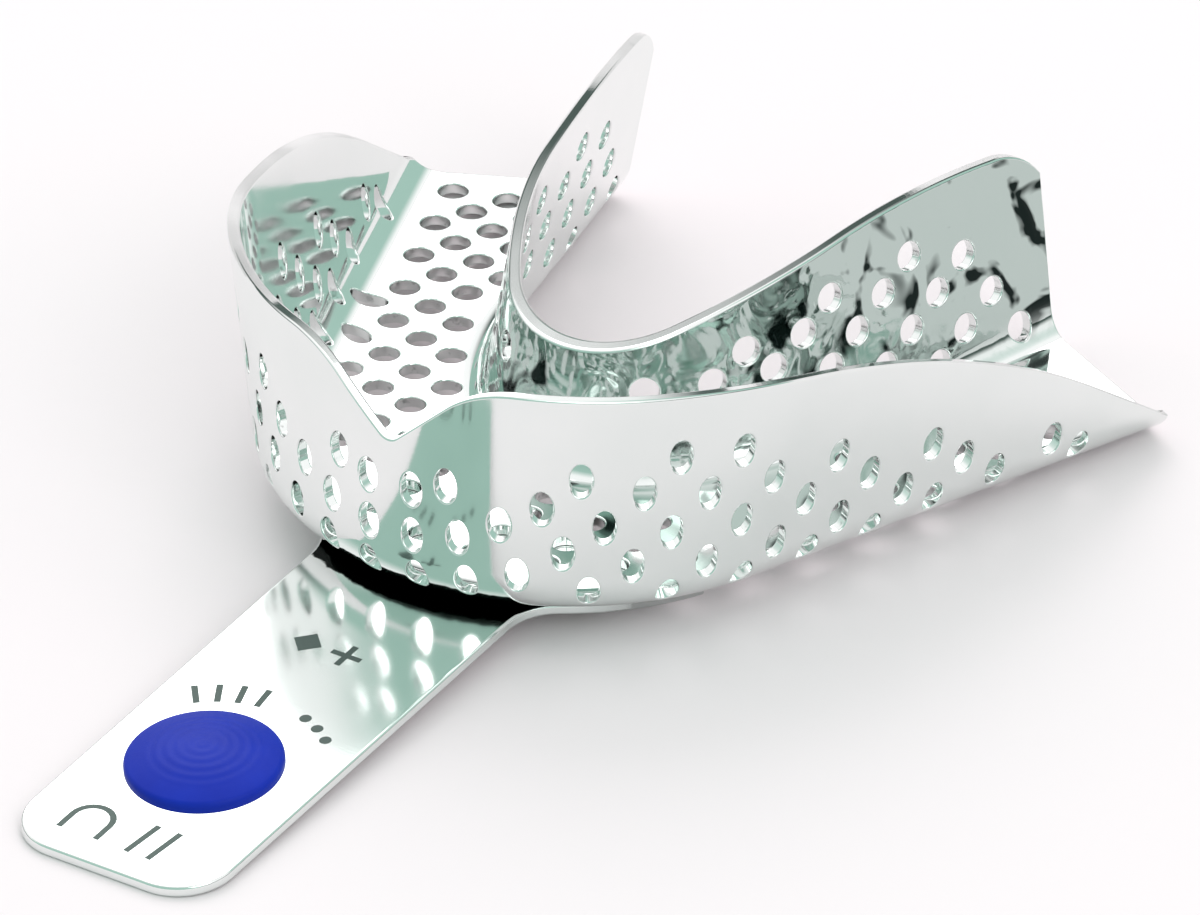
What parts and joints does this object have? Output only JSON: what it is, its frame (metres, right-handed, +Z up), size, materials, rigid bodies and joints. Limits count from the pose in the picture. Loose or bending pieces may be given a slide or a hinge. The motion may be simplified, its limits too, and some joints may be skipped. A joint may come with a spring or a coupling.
{
  "type": "impression tray",
  "caption": "Perforated metal dental impression tray for a lower jaw: horseshoe trough with a V notch, flat handle welded underneath and a domed colour button.",
  "frame": {"origin": "middle of the underside of the tray's box, on the surface the tray stands on", "axes": "+Z up, +Y from the handle towards the heels of the arms, X across the arch; the tray is symmetric in x = 0"},
  "size_m": [0.0732, 0.1028, 0.0234],
  "materials": {
    "polished_stainless": "polished",
    "weld_metal": "satin",
    "clear_glue": "cured adhesive",
    "blue_plastic": "satin moulded"
  },
  "bodies": {
    "root": {"tray_shell": "polished_stainless", "handle": "polished_stainless", "weld_plugs": "weld_metal", "button_glue": "clear_glue", "size_button": "blue_plastic"}
  },
  "joints": []
}
